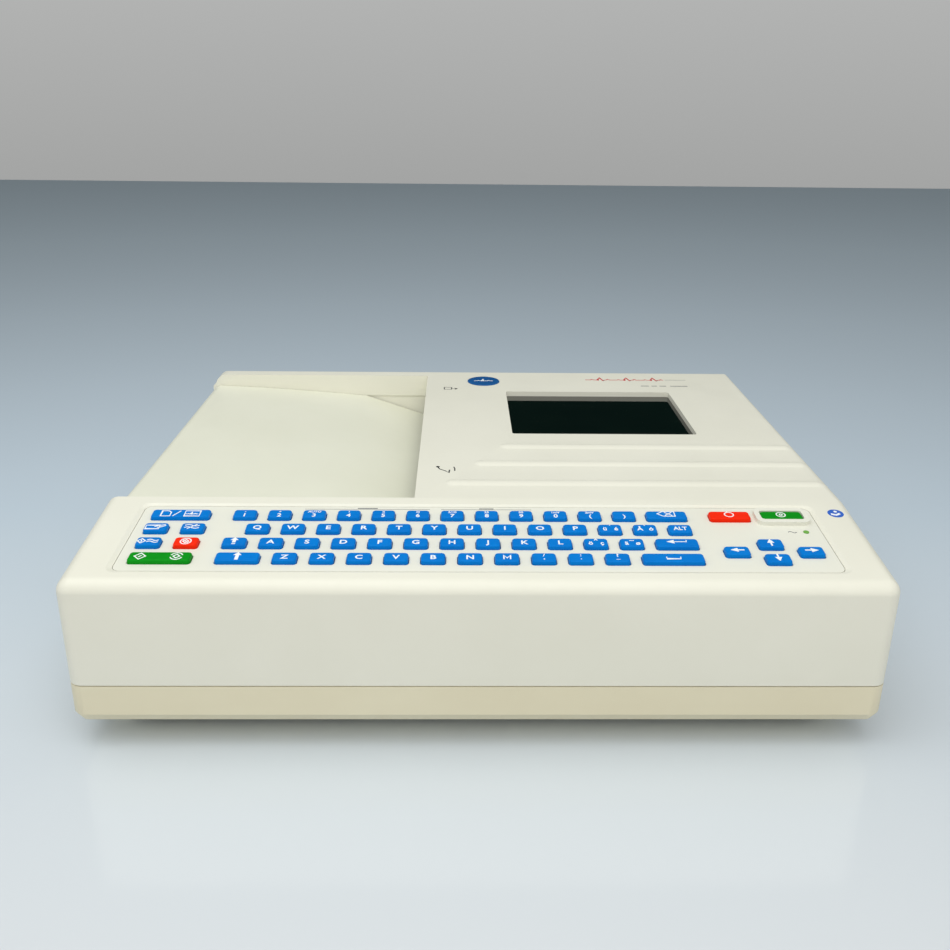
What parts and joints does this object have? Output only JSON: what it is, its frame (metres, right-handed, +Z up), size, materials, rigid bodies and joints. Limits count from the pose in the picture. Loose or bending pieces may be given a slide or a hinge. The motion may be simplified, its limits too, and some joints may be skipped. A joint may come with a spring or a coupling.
{
  "type": "ecg machine",
  "caption": "Portable resting ECG machine with a sloping keyboard deck, flat panel with recessed display, sliding paper cover and built-in strip printer.",
  "frame": {"origin": "middle of the footprint on the table, under the rubber feet", "axes": "+X to the operator's right, +Y away from the operator, +Z up"},
  "size_m": [0.4, 0.3404, 0.1016],
  "materials": {
    "housing_plastic": "fine moulded texture, off-white",
    "base_plastic": "fine moulded texture, slightly yellower off-white",
    "key_blue": "satin moulded keycap, bright blue, white legends",
    "key_red": "satin moulded keycap, red",
    "key_green": "satin moulded keycap, green",
    "silicone": "translucent grey silicone",
    "circuit_board": "solder-masked glass fibre board",
    "indicator": "pale green light pipe",
    "display_glass": "glossy near-black display window",
    "sheet_steel": "zinc-plated sheet steel",
    "tray_plastic": "dark grey moulded tray",
    "paper": "coated recording paper with a pale red grid",
    "motor_black": "black",
    "bronze": "machined brass or sintered bronze",
    "spring_steel": "drawn wire",
    "socket_plastic": "black thermoset",
    "plated_shell": "nickel-plated connector shell",
    "battery_case": "dark grey ABS case",
    "screw_steel": "zinc-plated",
    "rubber": "black rubber",
    "badge_blue": "domed blue disc with a plain wave",
    "cable_grey": "grey ribbon cable",
    "nylon": "natural acetal",
    "aluminium": "machined heat sink with ceramic print line"
  },
  "bodies": {
    "housing": {"base_housing": "base_plastic", "top_housing": "housing_plastic", "key_panel": "housing_plastic", "keypad_mat": "silicone", "keyboard_board": "circuit_board", "mains_led": "indicator", "display_window": "display_glass", "display_module": "sheet_steel", "paper_tray": "tray_plastic", "paper_pack": "paper", "printer_chassis": "sheet_steel", "stepper_motor": "motor_black", "idler_pin": "sheet_steel", "platen_bearings": "bronze", "printhead_pin": "sheet_steel", "printhead_springs": "spring_steel", "main_board": "circuit_board", "power_supply": "circuit_board", "mains_inlet": "socket_plastic", "equipotential_pin": "bronze", "patient_socket": "plated_shell", "serial_sockets": "plated_shell", "battery_pack": "battery_case", "battery_cover": "base_plastic", "battery_cover_screws": "screw_steel", "housing_screws": "screw_steel", "board_screws": "screw_steel", "rubber_feet": "rubber", "speaker": "motor_black", "badge": "badge_blue", "ribbon_cables": "cable_grey"},
    "digit_keys": {"digit_keys": "key_blue"},
    "upper_letter_keys": {"upper_letter_keys": "key_blue"},
    "middle_letter_keys": {"middle_letter_keys": "key_blue"},
    "lower_letter_keys": {"lower_letter_keys": "key_blue"},
    "backspace_key": {"backspace_key": "key_blue"},
    "shift_lock_key": {"shift_lock_key": "key_blue"},
    "shift_key": {"shift_key": "key_blue"},
    "enter_key": {"enter_key": "key_blue"},
    "space_key": {"space_key": "key_blue"},
    "report_key": {"report_key": "key_blue"},
    "patient_key": {"patient_key": "key_blue"},
    "leads_key": {"leads_key": "key_blue"},
    "filter_key": {"filter_key": "key_blue"},
    "stop_key": {"stop_key": "key_red"},
    "start_key": {"start_key": "key_green"},
    "arrow_left_key": {"arrow_left_key": "key_blue"},
    "arrow_right_key": {"arrow_right_key": "key_blue"},
    "arrow_up_key": {"arrow_up_key": "key_blue"},
    "arrow_down_key": {"arrow_down_key": "key_blue"},
    "power_off_key": {"power_off_key": "key_red"},
    "power_on_key": {"power_on_key": "key_green"},
    "paper_cover_body": {"paper_cover": "housing_plastic"},
    "platen": {"platen_roller": "rubber", "platen_shaft": "sheet_steel", "platen_gear": "nylon"},
    "idler": {"idler_gear": "nylon"},
    "drive_pinion": {"motor_shaft": "sheet_steel", "motor_pinion": "bronze"},
    "print_head": {"printhead": "aluminium"}
  },
  "joints": [
    {"name": "digit_keys_press", "type": "slide", "parent": "housing", "child": "digit_keys", "axis": [0, 0.1093, -0.994], "range_m": [0, 0.0015]},
    {"name": "upper_letter_keys_press", "type": "slide", "parent": "housing", "child": "upper_letter_keys", "axis": [0, 0.1093, -0.994], "range_m": [0, 0.0015]},
    {"name": "middle_letter_keys_press", "type": "slide", "parent": "housing", "child": "middle_letter_keys", "axis": [0, 0.1093, -0.994], "range_m": [0, 0.0015]},
    {"name": "lower_letter_keys_press", "type": "slide", "parent": "housing", "child": "lower_letter_keys", "axis": [0, 0.1093, -0.994], "range_m": [0, 0.0015]},
    {"name": "backspace_key_press", "type": "slide", "parent": "housing", "child": "backspace_key", "axis": [0, 0.1093, -0.994], "range_m": [0, 0.0015]},
    {"name": "shift_lock_key_press", "type": "slide", "parent": "housing", "child": "shift_lock_key", "axis": [0, 0.1093, -0.994], "range_m": [0, 0.0015]},
    {"name": "shift_key_press", "type": "slide", "parent": "housing", "child": "shift_key", "axis": [0, 0.1093, -0.994], "range_m": [0, 0.0015]},
    {"name": "enter_key_press", "type": "slide", "parent": "housing", "child": "enter_key", "axis": [0, 0.1093, -0.994], "range_m": [0, 0.0015]},
    {"name": "space_key_press", "type": "slide", "parent": "housing", "child": "space_key", "axis": [0, 0.1093, -0.994], "range_m": [0, 0.0015]},
    {"name": "report_key_press", "type": "slide", "parent": "housing", "child": "report_key", "axis": [0, 0.1093, -0.994], "range_m": [0, 0.0015]},
    {"name": "patient_key_press", "type": "slide", "parent": "housing", "child": "patient_key", "axis": [0, 0.1093, -0.994], "range_m": [0, 0.0015]},
    {"name": "leads_key_press", "type": "slide", "parent": "housing", "child": "leads_key", "axis": [0, 0.1093, -0.994], "range_m": [0, 0.0015]},
    {"name": "filter_key_press", "type": "slide", "parent": "housing", "child": "filter_key", "axis": [0, 0.1093, -0.994], "range_m": [0, 0.0015]},
    {"name": "stop_key_press", "type": "slide", "parent": "housing", "child": "stop_key", "axis": [0, 0.1093, -0.994], "range_m": [0, 0.0015]},
    {"name": "start_key_press", "type": "slide", "parent": "housing", "child": "start_key", "axis": [0, 0.1093, -0.994], "range_m": [0, 0.0015]},
    {"name": "arrow_left_key_press", "type": "slide", "parent": "housing", "child": "arrow_left_key", "axis": [0, 0.1093, -0.994], "range_m": [0, 0.0015]},
    {"name": "arrow_right_key_press", "type": "slide", "parent": "housing", "child": "arrow_right_key", "axis": [0, 0.1093, -0.994], "range_m": [0, 0.0015]},
    {"name": "arrow_up_key_press", "type": "slide", "parent": "housing", "child": "arrow_up_key", "axis": [0, 0.1093, -0.994], "range_m": [0, 0.0015]},
    {"name": "arrow_down_key_press", "type": "slide", "parent": "housing", "child": "arrow_down_key", "axis": [0, 0.1093, -0.994], "range_m": [0, 0.0015]},
    {"name": "power_off_key_press", "type": "slide", "parent": "housing", "child": "power_off_key", "axis": [0, 0.1093, -0.994], "range_m": [0, 0.0015]},
    {"name": "power_on_key_press", "type": "slide", "parent": "housing", "child": "power_on_key", "axis": [0, 0.1093, -0.994], "range_m": [0, 0.0015]},
    {"name": "paper_cover_slide", "type": "slide", "parent": "housing", "child": "paper_cover_body", "axis": [-1, 0, 0], "range_m": [0, 0.15]},
    {"name": "platen_turn", "type": "hinge", "parent": "housing", "child": "platen", "pos_m": [-0.016, 0, 0.062], "axis": [0, 1, 0], "continuous": true},
    {"name": "idler_turn", "type": "hinge", "parent": "housing", "child": "idler", "pos_m": [0.01105, 0, 0.05475], "axis": [0, 1, 0], "continuous": true},
    {"name": "motor_turn", "type": "hinge", "parent": "housing", "child": "drive_pinion", "pos_m": [0.02909, 0, 0.04819], "axis": [0, 1, 0], "continuous": true},
    {"name": "printhead_lift", "type": "hinge", "parent": "housing", "child": "print_head", "pos_m": [0.02, 0, 0.079], "axis": [0, 1, 0], "range_deg": [0, 5], "deforming": ["printhead_springs"]}
  ],
  "couplings": [
    {"joint": "idler_turn", "follows": "platen_turn", "ratio": -1.3333},
    {"joint": "motor_turn", "follows": "platen_turn", "ratio": 2.2222}
  ]
}
